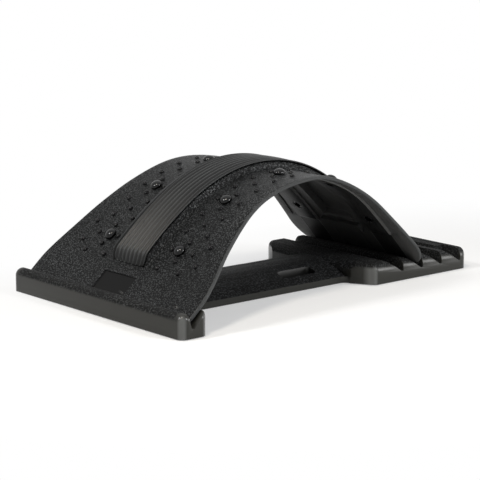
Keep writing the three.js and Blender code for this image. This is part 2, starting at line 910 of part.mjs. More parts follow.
// Foam strip: a ribbed sheet that follows the band, with a blunt rounded end on each wing level.
function stripSection(distance, rise) {
  const half = stripWidth / 2 - (1 - rise) * stripNoseDraw;
  const inner = half - stripSideDraw;
  const bottom = bandHeight(distance) + stripGap;
  const height = stripHeight * (stripNoseShare + (1 - stripNoseShare) * rise);
  const ribSteps = 3;
  const count = stripRibs * ribSteps;
  const top = [];
  for (let i = 0; i <= count; i++) {
    const across = inner * (1 - (2 * i) / count);
    const wave = Math.abs(Math.sin((Math.PI * i) / ribSteps));
    const crown = stripCrown * (1 - Math.cos((across / inner) * quarterTurn));
    top.push([across, bottom + height - crown - stripGrooveDepth * (1 - wave) * rise]);
  }
  return [
    [-inner, bottom],
    [inner, bottom],
    [half, bottom + height / 3],
    [half, bottom + (height * 2) / 3],
    ...top,
    [-half, bottom + (height * 2) / 3],
    [-half, bottom + height / 3],
  ];
}

function stripDistances() {
  const to = archLength - stripEndInset;
  const places = [stripEndInset, to, ...bandPlaces()];
  const noseSteps = 3;
  for (let i = 1; i < noseSteps; i++) {
    const run = stripNose * (1 - Math.cos((quarterTurn * i) / noseSteps));
    places.push(stripEndInset + run, to - run);
  }
  const from = bandEndInset + bandRamp;
  const steps = archSteps / 2;
  for (let i = 1; i < steps; i++) places.push(from + ((archLength - 2 * from) * i) / steps);
  return places.sort((a, b) => a - b);
}

// Rises from the strip's end to its full thickness over the nose.
function stripRing(distance) {
  const fromEnd = Math.min(distance, archLength - distance) - stripEndInset;
  const inside = Math.min(Math.max(1 - fromEnd / stripNose, 0), 1);
  return stripSection(distance, Math.sqrt(1 - inside ** 2));
}

addMesh("comfort_strip", sweep(stripDistances(), stripRing).toNonIndexed(), foam);

export default part;
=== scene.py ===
import bpy
import bmesh
import math
from mathutils import Matrix, Vector


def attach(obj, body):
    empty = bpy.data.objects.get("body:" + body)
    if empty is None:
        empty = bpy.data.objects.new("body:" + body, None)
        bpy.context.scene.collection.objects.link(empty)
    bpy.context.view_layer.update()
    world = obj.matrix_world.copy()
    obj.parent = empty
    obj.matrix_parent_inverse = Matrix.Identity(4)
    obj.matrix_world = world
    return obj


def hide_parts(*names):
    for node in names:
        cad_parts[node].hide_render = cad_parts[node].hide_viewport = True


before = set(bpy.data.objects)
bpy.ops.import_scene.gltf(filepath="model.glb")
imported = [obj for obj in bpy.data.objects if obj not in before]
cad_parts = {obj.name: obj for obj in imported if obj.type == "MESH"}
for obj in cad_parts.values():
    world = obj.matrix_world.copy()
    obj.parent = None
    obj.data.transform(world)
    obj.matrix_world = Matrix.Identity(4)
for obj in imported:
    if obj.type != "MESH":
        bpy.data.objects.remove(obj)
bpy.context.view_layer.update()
print("frame loaded")

mm = 0.001
weldGap = 0.01 * mm  # points nearer than this become one
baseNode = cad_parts["base_frame"]


# a new object, linked to the scene
def addObject(name, data):
    thing = bpy.data.objects.new(name, data)
    bpy.context.scene.collection.objects.link(thing)
    return thing


def meshFrom(name, bm):
    mesh = bpy.data.meshes.new(name)
    bm.to_mesh(mesh)
    bm.free()
    return mesh


# places a camera or a lamp, looking along a direction
def aim(thing, place, direction):
    thing.location = place
    thing.rotation_euler = direction.to_track_quat("-Z", "Y").to_euler()


# gives a CAD node's own mesh another material
def dress(node, material):
    node.data.materials.clear()
    node.data.materials.append(material)


# keeps a share between 0 and 1
def clamped(value):
    return min(max(value, 0), 1)


def smoothStep(value, low, high):
    t = clamped((value - low) / (high - low))
    return t * t * (3 - 2 * t)


# the camera stands where the photograph's camera stood
cameraSetup = {
    "place": (-1170.3 * mm, -1353.4 * mm, 401.6 * mm),
    "heading": 49.811,  # degrees from +X
    "pitch": -11.383,  # degrees, down is negative
    "lens": 147.26,
    "sensor": 36.0,
    "clip": (0.05, 60),
}


def makeCamera(setup):
    data = bpy.data.cameras.new("camera")
    data.lens = setup["lens"]
    data.sensor_width = setup["sensor"]
    data.clip_start, data.clip_end = setup["clip"]
    camera = addObject("camera", data)
    heading, pitch = math.radians(setup["heading"]), math.radians(setup["pitch"])
    level = math.cos(pitch)
    look = Vector((level * math.cos(heading), level * math.sin(heading), math.sin(pitch)))
    aim(camera, setup["place"], look)
    bpy.context.scene.camera = camera


makeCamera(cameraSetup)


# a socket that can be used in sums, so that shader maths reads as maths
class Value:
    def __init__(self, nodes, socket):
        self.nodes = nodes
        self.socket = socket

    def math(self, operation, *others):
        return self.nodes.add("ShaderNodeMath", {"operation": operation}, dict(enumerate((self, *others))))

    def __add__(self, other):
        return self.math("ADD", other)

    def __radd__(self, other):
        return self.math("ADD", other)

    def __sub__(self, other):
        return self.math("SUBTRACT", other)

    def __rsub__(self, other):
        return self.math("MULTIPLY", -1.0).math("ADD", other)

    def __mul__(self, other):
        return self.math("MULTIPLY", other)

    def __rmul__(self, other):
        return self.math("MULTIPLY", other)


# adds nodes to one tree
class Nodes:
    def __init__(self, tree):
        self.tree = tree

    def add(self, kind, settings=None, values=None, output=0):
        node = self.tree.nodes.new(kind)
        for key, value in (settings or {}).items():
            setattr(node, key, value)
        for key, value in (values or {}).items():
            self.link(value, node.inputs[key])
        return Value(self, node.outputs[output])

    # a tuple is a colour
    def link(self, value, socket):
        if isinstance(value, Value):
            self.tree.links.new(value.socket, socket)
        elif isinstance(value, tuple):
            socket.default_value = (*value, 1)
        else:
            socket.default_value = value


# one material with the nodes that its look is made of
class Finish(Nodes):
    def __init__(self, name):
        self.material = bpy.data.materials.new(name)
        self.material.use_nodes = True
        super().__init__(self.material.node_tree)
        self.shader = self.tree.nodes["Principled BSDF"]
        self.place = self.add("ShaderNodeTexCoord", output="Object")

    def noise(self, scale, detail=2.0):
        return self.add("ShaderNodeTexNoise", values={"Vector": self.place, "Scale": scale, "Detail": detail})

    def cells(self, scale):
        return self.add("ShaderNodeTexVoronoi", values={"Vector": self.place, "Scale": scale})

    def mix(self, factor, first, second):
        return self.add("ShaderNodeMix", {"data_type": "RGBA"}, {0: factor, 6: first, 7: second}, output=2)

    # maps one span of a value to another, and stays inside it
    def range(self, value, span, to=(0.0, 1.0)):
        low, high = span
        toLow, toHigh = to
        ends = {"From Min": low, "From Max": high, "To Min": toLow, "To Max": toHigh}
        return self.add("ShaderNodeMapRange", values={"Value": value, **ends})

    def part(self, vector, axis):
        return self.add("ShaderNodeSeparateXYZ", values={0: vector}, output=axis)

    def facing(self, axis):
        return self.part(self.add("ShaderNodeNewGeometry", output="Normal"), axis)

    def attribute(self, name):
        return self.add("ShaderNodeAttribute", {"attribute_name": name}, output=2)

    def bump(self, height, strength, distance):
        values = {"Height": height, "Strength": strength, "Distance": distance}
        return self.add("ShaderNodeBump", values=values)

    def set(self, values):
        for name, value in values.items():
            self.link(value, self.shader.inputs[name])
        return self.material


noiseSpan = (0.3, 0.7)  # where nearly all values of a noise lie

grainShape = {
    "coarseDetail": 1.5,
    "fineDetail": 1.0,
    "patchDetail": 3.0,
    "glintPatches": (0.55, 1.0),  # how much of the painted glints shows in each patch
    "pits": (0.5, 0.28),
    "fineShare": 0.35,
}


# dark grain of a spark-eroded mould: its height, pale painted glints on its tips, its pits and wide soft
# patches
def grainOf(finish, look, shape=grainShape):
    coarse = finish.noise(look["coarse"], shape["coarseDetail"])
    fine = finish.noise(look["fine"], shape["fineDetail"])
    patches = finish.noise(look["patches"], shape["patchDetail"])
    # pale painted glints on the grain's tips, patchy
    paintedGlints = finish.range(coarse, look["paintedGlints"]) * finish.range(patches, noiseSpan, shape["glintPatches"])
    pits = finish.range(coarse, shape["pits"])
    return coarse + fine * shape["fineShare"], paintedGlints, pits, patches


# charcoal plastic: smooth upright faces, grained faces that look up; painted glints on the grain, painted
# highlights on the corners and rounded edges, painted shade inside the spine
basePlasticLook = {
    "smooth": (0.0185, 0.0185, 0.0158),
    "smoothDark": (0.0145, 0.0145, 0.0125),
    "grained": (0.0038, 0.0039, 0.0039),
    "pit": (0.003, 0.003, 0.003),
    # colour of the painted glints
    "glintColor": (0.054, 0.056, 0.057),
    # painted highlights: a pale colour on the rounded corners, and one on the rounded edges
    "paintedCornerHighlight": (0.16, 0.165, 0.163),
    "edgeHighlight": (0.1, 0.103, 0.103),
    "darkShare": 0.35,
    "insideShadeShare": 0.8,
    "pitShare": 0.8,
    "glintShare": 0.75,
    "cornerHighlightShare": 0.75,
    "coarse": 640.0,
    "fine": 2600.0,
    "patches": 24.0,
    "paintedGlints": (0.5, 0.62),
    "barEnd": (0.1125, 0.1185),  # metres across, from here on out
    "plateSide": (0.0725, 0.0748),
    "plateCorner": (0.0655, 0.071),
    "insideAcross": (0.046, 0.044),
    "plateFrom": (-0.05, 0.0),  # metres along, from here on back
    "rackFrom": (0.082, 0.084),
    "rackTo": (0.1948, 0.193),
    "insideFrom": (-0.164, -0.16),
    "insideTo": (0.19, 0.186),
    "edgeFrom": (-0.15, -0.1),
    "edgeAmount": (0.25, 0.75),
    "upright": (0.62, 0.3),  # how far a face looks up
    "lookingUp": (0.1, 0.34),
    "oblique": (0.12, 0.42),
    "cornerHighlightPatches": (0.2, 0.8),
    "cornerHighlightAmount": (0.6, 1.0),
    "roughness": (0.3, 0.36),
    "topRoughness": 0.4,
    "smoothRelief": 0.02,
    "bump": (0.6, 0.0004),
    "specular": 0.12,
    "coat": 0.3,
    "coatRoughness": 0.25,
}


def makeBasePlastic(look):
    finish = Finish("base_plastic")
    height, paintedGlints, pits, patches = grainOf(finish, look)
    along, across = finish.part(finish.place, 0), finish.part(finish.place, 1).math("ABSOLUTE")
    barEnd = finish.range(across, look["barEnd"])
    onPlate = finish.range(along, look["plateFrom"])
    standing = finish.range(finish.facing(2), look["upright"])
    plateSide = finish.range(across, look["plateSide"]) * onPlate * standing
    inRack = finish.range(along, look["rackFrom"]) * finish.range(along, look["rackTo"])
    grained = finish.range(finish.facing(2), look["lookingUp"]).math("MAXIMUM", inRack)
    onTop = grained * (1 - barEnd) * (1 - plateSide)
    oblique = finish.range((finish.facing(0) * finish.facing(1)).math("ABSOLUTE"), look["oblique"])
    corners = barEnd + finish.range(across, look["plateCorner"]) * onPlate
    # painted highlight on the rounded corners of the bar's ends and the plate, patchy, kept off the grained
    # tops
    patchyHighlight = finish.range(patches, look["cornerHighlightPatches"], look["cornerHighlightAmount"])
    paintedCornerHighlight = oblique * corners * patchyHighlight * (1 - onTop)
    # painted shade: upright faces inside the spine, from the bar back to the rear, take the dark grained
    # colour
    hollow = finish.range(across, look["insideAcross"])
    inside = hollow * finish.range(along, look["insideFrom"]) * finish.range(along, look["insideTo"])
    # painted highlight on the rounded edges, weaker towards the front bar and left out inside the spine
    lit = finish.range(along, look["edgeFrom"], look["edgeAmount"])
    softEdge = finish.attribute("softEdge") * lit * (1 - inside)

    top = finish.mix(pits * look["pitShare"], look["grained"], look["pit"])
    top = finish.mix(paintedGlints * look["glintShare"], top, look["glintColor"])
    dark = finish.range(patches, noiseSpan) * look["darkShare"]
    upright = finish.mix(dark, look["smooth"], look["smoothDark"])
    upright = finish.mix(inside * look["insideShadeShare"], upright, look["grained"])
    color = finish.mix(onTop, upright, top)
    color = finish.mix(softEdge, color, look["edgeHighlight"])
    return finish.set({
        "Base Color": finish.mix(paintedCornerHighlight * look["cornerHighlightShare"], color, look["paintedCornerHighlight"]),
        "Roughness": finish.range(patches, noiseSpan, look["roughness"]) + onTop * look["topRoughness"],
        "Normal": finish.bump(height * onTop + patches * look["smoothRelief"], *look["bump"]),
        "Specular IOR Level": look["specular"],
        "Coat Weight": (1 - onTop) * look["coat"],
        "Coat Roughness": look["coatRoughness"],
    })


# darker panel plastic with a coarser grain and painted pale blue-grey glints, painted light and shade
# underneath, and a painted highlight along the rim
panelPlasticLook = {
    "plain": (0.0028, 0.003, 0.0031),
    "pit": (0.002, 0.002, 0.002),
    # colour of the painted glints
    "glintColor": (0.057, 0.06, 0.062),
    "label": (0.004, 0.004, 0.004),
    # painted light and painted shade on the underside
    "underPaintedLight": (0.15, 0.152, 0.15),
    "underPaintedShade": (0.002, 0.002, 0.002),
    # painted highlight along the panel's rim
    "edge": (0.052, 0.054, 0.0545),
    "pitShare": 0.8,
    "rimHighlightShare": 0.85,
    "coarse": 800.0,
    "fine": 2500.0,
    "patches": 20.0,
    "paintedGlints": (0.5, 0.64),
    "below": (0.0, 0.1),  # an underside shading value from here on up marks the underside
    "roughness": (0.4, 0.48),
    "labelRoughness": 0.14,  # how much smoother the label is
    "flatterBelow": 0.6,
    "flatterLabel": 0.95,
    "bump": (0.7, 0.0005),
    "specular": 0.06,
    "coat": 0.2,
    "coatRoughness": 0.3,
}


def makePanelPlastic(look):
    finish = Finish("panel_plastic")
    height, paintedGlints, pits, patches = grainOf(finish, look)
    tone, label = finish.attribute("underShading"), finish.attribute("labelMask")
    below = finish.range(tone, look["below"])
    color = finish.mix(pits * look["pitShare"], look["plain"], look["pit"])
    color = finish.mix(paintedGlints, color, look["glintColor"])
    # painted light and shade on the underside
    color = finish.mix(below, color, finish.mix(tone, look["underPaintedShade"], look["underPaintedLight"]))
    # painted highlight along the rim
    color = finish.mix(finish.attribute("rimHighlightMask") * look["rimHighlightShare"], color, look["edge"])
    relief = height * (1 - below * look["flatterBelow"]) * (1 - label * look["flatterLabel"])
    return finish.set({
        "Base Color": finish.mix(label, color, look["label"]),
        "Roughness": finish.range(patches, noiseSpan, look["roughness"]) - label * look["labelRoughness"],
        "Normal": finish.bump(relief, *look["bump"]),
        "Specular IOR Level": look["specular"],
        "Coat Weight": paintedGlints * (1 - below) * (1 - label) * look["coat"],
        "Coat Roughness": look["coatRoughness"],
    })


# soft closed-cell foam: even grey with fine pores, a painted highlight on the crests and painted shade down
# in the grooves
foamLook = {
    "plain": (0.0095, 0.0102, 0.0104),
    "pore": (0.006, 0.006, 0.006),
    # painted highlight on the rib crests, painted shade at the bottom of the grooves
    "crestHighlight": (0.05, 0.053, 0.0532),
    "groove": (0.002, 0.002, 0.002),
    "poreScale": 1500.0,
    "poreSpan": (0.0, 0.45),
    "poreAmount": (0.6, 0.0),
    "crestDepth": (0.5, 0.05),  # 0 on a rib's crest, 1 at the bottom of a groove
    "crestHighlightShare": 0.6,
    "grooveDepth": (0.4, 1.0),
    "grooveShadeShare": 0.9,
    "blotchScale": 34.0,
    "blotchDetail": 3.0,
    "blotchShare": 0.18,
    "roughness": (0.34, 0.4),
    "bump": (0.2, 0.0001),
    "specular": 0.25,
}


def makeFoam(look):
    finish = Finish("strip_foam")
    pores = finish.cells(look["poreScale"])
    blotch = finish.noise(look["blotchScale"], look["blotchDetail"])
    depth = finish.attribute("ribDepth")
    color = finish.mix(finish.range(pores, look["poreSpan"], look["poreAmount"]), look["plain"], look["pore"])
    # painted highlight on the crests, then painted shade in the grooves
    color = finish.mix(finish.range(depth, look["crestDepth"]) * look["crestHighlightShare"], color, look["crestHighlight"])
    color = finish.mix(finish.range(depth, look["grooveDepth"]) * look["grooveShadeShare"], color, look["groove"])
    return finish.set({
        "Base Color": finish.mix(blotch * look["blotchShare"], color, look["pore"]),
        "Roughness": finish.range(blotch, noiseSpan, look["roughness"]),
        "Normal": finish.bump(pores, *look["bump"]),
        "Specular IOR Level": look["specular"],
    })


# gloss black moulded plastic for the studs, and a duller one for the nodules
glossLook = {
    "black": (0.0014, 0.0014, 0.0016),
    "haze": (0.0035, 0.0035, 0.004),
    "hazeScale": 90.0,
    "hazeShare": 0.5,
    "fineScale": 700.0,
    "fineDetail": 1.0,
    "bump": (0.05, 0.00005),
    "roughest": 1.4,  # times the roughness, where the haze is thick
    "stud": {"specular": 0.27, "roughness": 0.12},
    "nodule": {"specular": 0.15, "roughness": 0.2},
}


def makeGloss(look, kind):
    finish = Finish(kind + "_plastic")
    haze = finish.noise(look["hazeScale"])
    fine = finish.noise(look["fineScale"], look["fineDetail"])
    roughness = look[kind]["roughness"]
    return finish.set({
        "Base Color": finish.mix(haze * look["hazeShare"], look["black"], look["haze"]),
        "Roughness": finish.range(haze, noiseSpan, (roughness, roughness * look["roughest"])),
        "Normal": finish.bump(fine, *look["bump"]),
        "Specular IOR Level": look[kind]["specular"],
    })


# plain finishes of the parts underneath and inside
rubberLook = {
    "first": (0.012, 0.012, 0.012),
    "second": (0.03, 0.03, 0.03),
    "share": 0.6,
    "scale": 1200.0,
    "detail": 2.0,
    "roughness": (0.75, 0.9),
    "bump": (0.4, 0.0001),
    "metallic": 0.0,
}
magnetLook = {
    "first": (0.56, 0.56, 0.57),
    "second": (0.40, 0.40, 0.42),
    "share": 0.4,
    "scale": 900.0,
    "detail": 3.0,
    "roughness": (0.22, 0.36),
    "bump": (0.1, 0.00005),
    "metallic": 1.0,
}


def makePlain(name, look):
    finish = Finish(name)
    grain = finish.noise(look["scale"], look["detail"])
    return finish.set({
        "Base Color": finish.mix(grain * look["share"], look["first"], look["second"]),
        "Roughness": finish.range(grain, noiseSpan, look["roughness"]),
        "Metallic": look["metallic"],
        "Normal": finish.bump(grain, *look["bump"]),
    })


basePlastic = makeBasePlastic(basePlasticLook)
panelPlastic = makePanelPlastic(panelPlasticLook)
foam = makeFoam(foamLook)
gloss = makeGloss(glossLook, "stud")
dullGloss = makeGloss(glossLook, "nodule")
rubber = makePlain("foot_rubber", rubberLook)
magnetMetal = makePlain("magnet_metal", magnetLook)
print("materials made")


# the arch's line, as in the CAD: tangent arcs between the groove's seat and the notch's seat
archLine = {
    "frontAngle": 42.0,  # degrees, before the arch is turned onto its seats
    "runShares": (0.17, 0.12, 0.12, 0.37, 0.22),
    "turns": (0.0, 8.2, 17.0, 60.5, 7.1),  # degrees down in each run
    "thickness": 4.2 * mm,
    "steps": 920,
    "fitRounds": 5,
}
# the base's sizes that the two seats hang on
baseSizes = {
    "rearX": 195 * mm,
    "frontX": -195 * mm,
    "barDepth": 29.2 * mm,
    "barHeight": 21.3 * mm,
    "innerLipRadius": 3 * mm,
    "grooveLipTop": 8 * mm,
    "grooveDraft": 2.4 * mm,
    "grooveFloorHeight": 8.2 * mm,
    "grooveFloorWidth": 5.5 * mm,
    "rearWallThickness": 8.8 * mm,
    "notchPitch": 25.6 * mm,
    "notchFloorHeight": 8.8 * mm,
    "notchFloorLength": 2.4 * mm,
    "crestHeight": 20 * mm,
    "crestLand": 5.8 * mm,
    "lift": 0.8 * mm,
    "fitGap": 0.3 * mm,
}


def frontSeat(angle, sizes, line):
    innerX = sizes["frontX"] + sizes["barDepth"] - sizes["innerLipRadius"]
    top = sizes["lift"] + sizes["barHeight"]
    reach = -innerX * math.sin(angle) + top * math.cos(angle) + line["thickness"] + sizes["fitGap"]
    footX = sizes["frontX"] + sizes["grooveLipTop"] + sizes["grooveDraft"]
    footZ = sizes["lift"] + sizes["grooveFloorHeight"] + sizes["grooveFloorWidth"] / 2
    draft = sizes["grooveDraft"] / (top - footZ)
    x, z = footX, footZ
    for _ in range(line["fitRounds"]):
        x = footX - max(z - footZ, 0) * draft + sizes["fitGap"]
        z = (reach + x * math.sin(angle)) / math.cos(angle)
    return Vector((x, z))


def rearSeat(angle, sizes, line):
    wallX = sizes["rearX"] - sizes["rearWallThickness"] - 2 * sizes["notchPitch"]
    run = sizes["notchPitch"] - sizes["notchFloorLength"] - sizes["crestLand"]
    rate = (sizes["crestHeight"] - sizes["notchFloorHeight"]) / run
    reach = line["thickness"] * math.sin(-angle) + sizes["fitGap"]
    climb = max(reach - sizes["notchFloorLength"], 0) * rate
    z = sizes["lift"] + sizes["notchFloorHeight"] + climb + sizes["fitGap"]
    return Vector((wallX - sizes["fitGap"], z + line["thickness"] * math.cos(angle)))


# degrees turned down from the front edge to this share of the length
def turnedBy(share, line):
    passed, turned = 0.0, 0.0
    for run, turn in zip(line["runShares"], line["turns"]):
        turned += turn * clamped((share - passed) / run)
        passed += run
    return turned


def fitArch(line, sizes):
    count = line["steps"]
    points = [Vector((0, 0))]
    angles = [math.radians(line["frontAngle"])]
    for i in range(1, count + 1):
        middle = math.radians(line["frontAngle"] - turnedBy((i - 0.5) / count, line))
        points.append(points[-1] + Vector((math.cos(middle), math.sin(middle))) / count)
        angles.append(math.radians(line["frontAngle"] - turnedBy(i / count, line)))
    last, turn = points[-1], 0.0
    for _ in range(line["fitRounds"]):
        start = frontSeat(angles[0] + turn, sizes, line)
        chord = rearSeat(angles[-1] + turn, sizes, line) - start
        scale = chord.length / last.length
        turn = math.atan2(chord.y, chord.x) - math.atan2(last.y, last.x)
    spin = Matrix.Rotation(turn, 2)
    return [start + scale * (spin @ point) for point in points], [a + turn for a in angles], scale


archPoints, archAngles, archLength = fitArch(archLine, baseSizes)
archMiddle = archLength / 2


def archAt(distance):
    at = clamped(distance / archLength) * archLine["steps"]
    index = min(int(at), archLine["steps"] - 1)
    rest = at - index
    point = archPoints[index].lerp(archPoints[index + 1], rest)
    return point, archAngles[index] * (1 - rest) + archAngles[index + 1] * rest


def overArch(distance, across, height):
    point, angle = archAt(distance)
    return Vector((point.x - height * math.sin(angle), across, point.y + height * math.cos(angle)))


def archMatrix(distance, across, height=0.0):
    _, angle = archAt(distance)
    along = Vector((math.cos(angle), 0, math.sin(angle)))
    over = Vector((-math.sin(angle), 0, math.cos(angle)))
    turn = Matrix((along, (0, 1, 0), over)).transposed().to_4x4()
    return Matrix.Translation(overArch(distance, across, height)) @ turn


# bends what was modelled flat (x along, y across, z over the wings) onto the arch
def bendOntoArch(bm):
    for vert in bm.verts:
        vert.co = overArch(*vert.co)


print("arch line fitted, length", round(archLength / mm, 1), "mm")


def finishPiece(name, bm, material, body, smoothAngle, normals=True):
    if normals:
        bmesh.ops.remove_doubles(bm, verts=bm.verts, dist=weldGap)
        bmesh.ops.recalc_face_normals(bm, faces=bm.faces)
    mesh = meshFrom(name, bm)
    mesh.materials.append(material)
    mesh.shade_smooth()
    mesh.set_sharp_from_angle(angle=math.radians(smoothAngle))
    piece = addObject(name, mesh)
    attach(piece, body)
    return piece


# draws a closed section out through many places, with extrude steps
def extrudeThrough(bm, places, ringAt):
    ring = [bm.verts.new((places[0], y, z)) for y, z in ringAt(places[0])]
    edges = [bm.edges.new(pair) for pair in zip(ring, ring[1:] + ring[:1])]
    bm.faces.new(ring)
    for place in places[1:]:
        grown = bmesh.ops.extrude_edge_only(bm, edges=edges)["geom"]
        behind = set(ring)
        nextTo = {}
        for vert in (v for v in grown if isinstance(v, bmesh.types.BMVert)):
            for edge in vert.link_edges:
                if edge.other_vert(vert) in behind:
                    nextTo[edge.other_vert(vert)] = vert
        ring = [nextTo[v] for v in ring]
        for vert, (y, z) in zip(ring, ringAt(place)):
            vert.co = (place, y, z)
        edges = [bm.edges.get(pair) for pair in zip(ring, ring[1:] + ring[:1])]
    bm.faces.new(ring)


# the panel's section: raised band in the middle, wings, thick rim, and two rails underneath
panelSizes = {
    "shares": (0, 0.08, 0.2, 0.35, 0.5, 0.62, 0.8, 0.92, 1),  # of the length
    "halfWidths": tuple(w * mm for w in (119, 117.7, 103.6, 89.7, 86, 75.2, 81.7, 88.1, 92)),
    "frontCorner": 6 * mm,
    "rearCorner": 33 * mm,
    "cornerSteps": 8,
    "rim": 3.6 * mm,
    "rimSteps": 8,
    "rimWidth": 12 * mm,
    "rimHighlighted": 0.45,  # the share of the rim that gets a painted highlight
    "skin": 2.4 * mm,
    "rail": 5 * mm,
    "railInner": 36 * mm,
    "railOuter": 64.5 * mm,
    "sidePocket": (0.5 * mm, 4 * mm),  # the pocket beside the rim opens over this width
    "land": 1.5 * mm,
    "soft": 0.4 * mm,
    "softSteps": (0.3, 0.4, 0.6, 1.2),  # times soft, the steps of a softened corner
    "dish": 0.6 * mm,
    "wingSteps": 15,
    "bandHalfWidth": 22.2 * mm,
    "bandStep": 3.6 * mm,
    "bandFoot": 0.5 * mm,
    "bandRise": 6 * mm,
    "bandEnd": 40.2 * mm,
    "bandRamp": 14 * mm,
    "bandSteps": 8,
    "bandShares": (0.97, 0.5, 0.2),  # of its half width, from its edge in
    "channelEnd": 54 * mm,
    "channelDraft": 1.5 * mm,
    "channelShares": (0.25, 0.6, 0.92),
    "pocketEnd": 42 * mm,
    "pocketRamp": 2.5 * mm,
    "pocketSteps": 4,
    "labelFrom": 8 * mm,
    "labelTo": 28 * mm,
    "labelDepth": 0.8 * mm,
    "labelWall": 0.2 * mm,
    "step": 2.2 * mm,
    "stepClear": 0.8 * mm,  # even steps this near to a needed place are left out
    "stepLeast": 0.15 * mm,
}


def splineAt(xs, ys, x):
    i = max(k for k in range(len(xs) - 1) if k == 0 or xs[k] <= x)
    before, after = max(i - 1, 0), min(i + 2, len(xs) - 1)
    h = xs[i + 1] - xs[i]
    slopeA = (ys[i + 1] - ys[before]) / (xs[i + 1] - xs[before]) * h
    slopeB = (ys[after] - ys[i]) / (xs[after] - xs[i]) * h
    t = (x - xs[i]) / h
    t2, t3 = t * t, t * t * t
    ends = (2 * t3 - 3 * t2 + 1) * ys[i] + (3 * t2 - 2 * t3) * ys[i + 1]
    return ends + (t3 - 2 * t2 + t) * slopeA + (t3 - t2) * slopeB


def cornerCut(radius, distance):
    inside = min(max(radius - distance, 0), radius)
    return radius - math.sqrt(radius ** 2 - inside ** 2)


# half width of the panel along its length, with rounded corners at both ends
def halfWidthAt(distance, sizes=panelSizes):
    plain = splineAt(sizes["shares"], sizes["halfWidths"], clamped(distance / archLength))
    front = cornerCut(sizes["frontCorner"], distance)
    return plain - front - cornerCut(sizes["rearCorner"], archLength - distance)


# 0 near both ends of the panel, 1 in between
def presence(distance, inset, ramp):
    return smoothStep(min(distance, archLength - distance), inset, inset + ramp)


# the raised middle band rises in a curve from both ends of the panel
def bandHeight(distance, sizes=panelSizes):
    rest = 1 - clamped((min(distance, archLength - distance) - sizes["bandEnd"]) / sizes["bandRamp"])
    return sizes["bandRise"] * (1 - rest ** 2)


# the bare label recess near the front edge
def labelSink(distance, sizes=panelSizes):
    inside = min(distance - sizes["labelFrom"], sizes["labelTo"] - distance)
    return sizes["labelDepth"] * clamped(inside / sizes["labelWall"])


# the wings are dished a little between the band and the rim
def wingHeight(across, distance, sizes=panelSizes):
    half = halfWidthAt(distance) - sizes["rim"] / 2
    start = sizes["bandHalfWidth"] + sizes["bandStep"]
    reach = clamped((abs(across) - start) / max(half - start, mm))
    deep = presence(distance, sizes["bandEnd"], sizes["bandRamp"])
    return -sizes["dish"] * math.sin(reach * math.pi) * deep


# share of the flank's width and of its height, from its foot to the band's edge
flankShape = (
    (0, 0.02), (0.14, 0.05), (0.27, 0.16), (0.4, 0.38), (0.52, 0.64), (0.64, 0.85), (0.8, 0.96), (1, 1),
)


# half of the section at one place, from the channel's middle round the rim to the band's middle
def panelHalfRing(distance, sizes=panelSizes):
    half = halfWidthAt(distance)
    rim, skin, rail = sizes["rim"], sizes["skin"], sizes["rail"]
    soft, land = sizes["soft"], sizes["land"]
    faint, slight, more, wide = (soft * step for step in sizes["softSteps"])
    deep = presence(distance, sizes["pocketEnd"], sizes["pocketRamp"])
    edge = half - sizes["rimWidth"]
    beside = smoothStep(edge - sizes["railOuter"], *sizes["sidePocket"]) * deep
    edge = min(max(edge, sizes["railOuter"] + land), half - rim / 2 - land)
    inner, outer = sizes["railInner"], min(sizes["railOuter"], edge - land)
    middle = rim + (skin - rim) * deep
    side = rim + (skin - rim) * beside
    full = rim + (rail - rim) * deep

    channel = sizes["bandHalfWidth"] - skin
    ceiling = bandHeight(distance) * presence(distance, sizes["channelEnd"], sizes["pocketRamp"]) - middle
    points = [(channel * share, ceiling) for share in sizes["channelShares"]]
    points += [(channel, ceiling - faint), (channel + soft, ceiling * 0.5 - middle * 0.5)]
    channel += sizes["channelDraft"]
    points += [(channel, -middle), (channel + land, -middle)]
    points += [(inner - 2 * soft, -middle), (inner - soft, -middle)]
    points += [(inner, -middle - slight * deep), (inner + slight, -full + more * deep)]
    points += [(inner + wide, -full), ((inner + outer) / 2, -full), (outer - wide, -full)]
    points += [(outer - slight, -full + more * deep), (outer, -side - slight * beside), (outer + soft, -side)]
    points += [((outer + edge) / 2, -side), (edge - soft, -side)]
    points += [(edge, -side - faint * beside), (edge + slight, -rim + faint * beside), (edge + soft, -rim)]

    for i in range(sizes["rimSteps"] + 1):
        angle = math.radians(-90 + 180 * i / sizes["rimSteps"])
        points.append((half - rim / 2 + rim / 2 * math.cos(angle), -rim / 2 + rim / 2 * math.sin(angle)))
    start = sizes["bandHalfWidth"] + sizes["bandStep"]
    for i in range(1, sizes["wingSteps"] + 1):
        y = (half - rim / 2) + (start + sizes["bandFoot"] - half + rim / 2) * i / sizes["wingSteps"]
        points.append((y, wingHeight(y, distance)))
    rise, sink = bandHeight(distance), labelSink(distance)
    for run, climb in flankShape:
        points.append((start - sizes["bandStep"] * run, -sink if run == 1 and sink else rise * climb))
    points += [(sizes["bandHalfWidth"] * share, rise - sink) for share in sizes["bandShares"]]
    return points


def mirrored(half):
    return half + [(-y, z) for y, z in reversed(half)]


